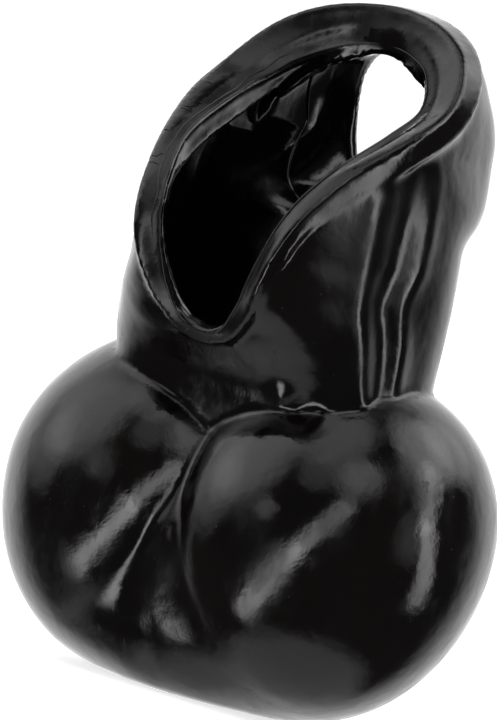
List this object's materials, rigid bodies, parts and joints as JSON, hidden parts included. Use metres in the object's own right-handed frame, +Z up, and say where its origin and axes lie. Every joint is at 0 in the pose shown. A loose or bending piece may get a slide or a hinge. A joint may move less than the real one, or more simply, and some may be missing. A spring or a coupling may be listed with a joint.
{
  "type": "two-lobed wearable elastomer pouch",
  "caption": "Adult wearable pouch moulded in one piece: two hollow rounded lobes under a sleeve neck, with a thick ring collar open at the front and the back.",
  "frame": {"origin": "on the standing plane, midway between the axes of the two lobes", "axes": "+Z up through the collar, X across the two lobes, -Y towards the sloping front mouth"},
  "size_m": [0.095, 0.0652, 0.13],
  "materials": {
    "elastomer": "glossy black, smooth moulded skin with light scuffs"
  },
  "bodies": {
    "root": {"left_lobe": "elastomer", "right_lobe": "elastomer", "neck_sleeve": "elastomer", "ring_collar": "elastomer"}
  },
  "joints": []
}
